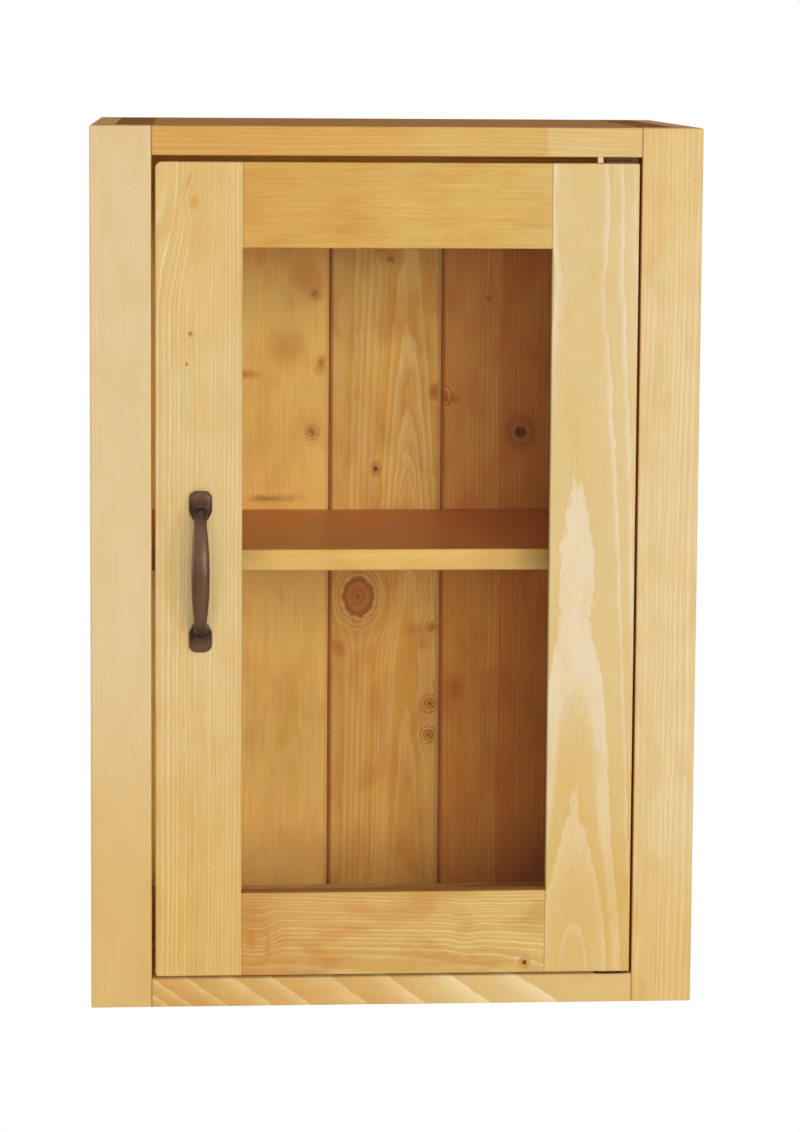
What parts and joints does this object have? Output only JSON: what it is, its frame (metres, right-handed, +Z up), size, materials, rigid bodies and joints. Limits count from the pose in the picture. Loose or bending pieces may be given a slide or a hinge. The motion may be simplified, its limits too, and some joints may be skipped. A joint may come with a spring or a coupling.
{
  "type": "glass door wall cabinet",
  "caption": "Spruce wall cabinet with a glazed swing door on pivot hinges, a bow handle, a magnetic catch, a loose shelf and a boarded back with a hanging rail.",
  "frame": {"origin": "middle of the back's bottom edge, on the wall plane", "axes": "+Z up, +Y into the wall, +X to the right of someone who faces the door"},
  "size_m": [0.5, 0.338, 0.73],
  "materials": {
    "spruce": "honey stained and waxed, satin",
    "back_boards": "honey stained and waxed, satin",
    "dowels": "raw beech",
    "glass": "clear float glass",
    "handle": "dark brown bronze lacquer, satin",
    "steel": "zinc plated",
    "hinge_plate": "dark brown bronze lacquer, satin",
    "nylon": "moulded, cream",
    "catch_plastic": "moulded, matt",
    "magnet": "sintered, dull"
  },
  "bodies": {
    "cabinet": {"side_panel_left": "spruce", "side_panel_right": "spruce", "front_stile_left": "spruce", "front_stile_right": "spruce", "top_panel": "spruce", "bottom_panel": "spruce", "hanging_rail": "back_boards", "carcass_dowels": "dowels", "back_board_1": "back_boards", "back_board_2": "back_boards", "back_board_3": "back_boards", "back_board_4": "back_boards", "back_board_5": "back_boards", "back_nails": "steel", "shelf_supports": "steel", "top_hinge_frame_leaf": "hinge_plate", "bottom_hinge_frame_leaf": "hinge_plate", "hinge_frame_screws": "steel", "hinge_washers": "steel", "lift_stop": "nylon", "catch_housing": "catch_plastic", "catch_magnet": "magnet", "catch_poles": "steel", "catch_screws": "steel"},
    "door": {"door_stile_latch": "spruce", "door_stile_hinge": "spruce", "door_rail_top": "spruce", "door_rail_bottom": "spruce", "door_dowels": "dowels", "glass_pane": "glass", "bead_top": "spruce", "bead_bottom": "spruce", "bead_latch": "spruce", "bead_hinge": "spruce", "bead_brads": "steel", "handle": "handle", "handle_screws": "steel", "top_hinge_door_leaf": "hinge_plate", "bottom_hinge_door_leaf": "hinge_plate", "hinge_door_screws": "steel", "strike_plate": "steel", "strike_screws": "steel"},
    "shelf": {"shelf": "spruce"}
  },
  "joints": [
    {"name": "door_swing", "type": "hinge", "parent": "cabinet", "child": "door", "pos_m": [0.1935, -0.3055, 0.3635], "axis": [0, 0, 1], "range_deg": [0, 105]},
    {"name": "shelf_lift", "type": "slide", "parent": "cabinet", "child": "shelf", "axis": [0, 0, 1], "range_m": [0, 0.012]}
  ]
}
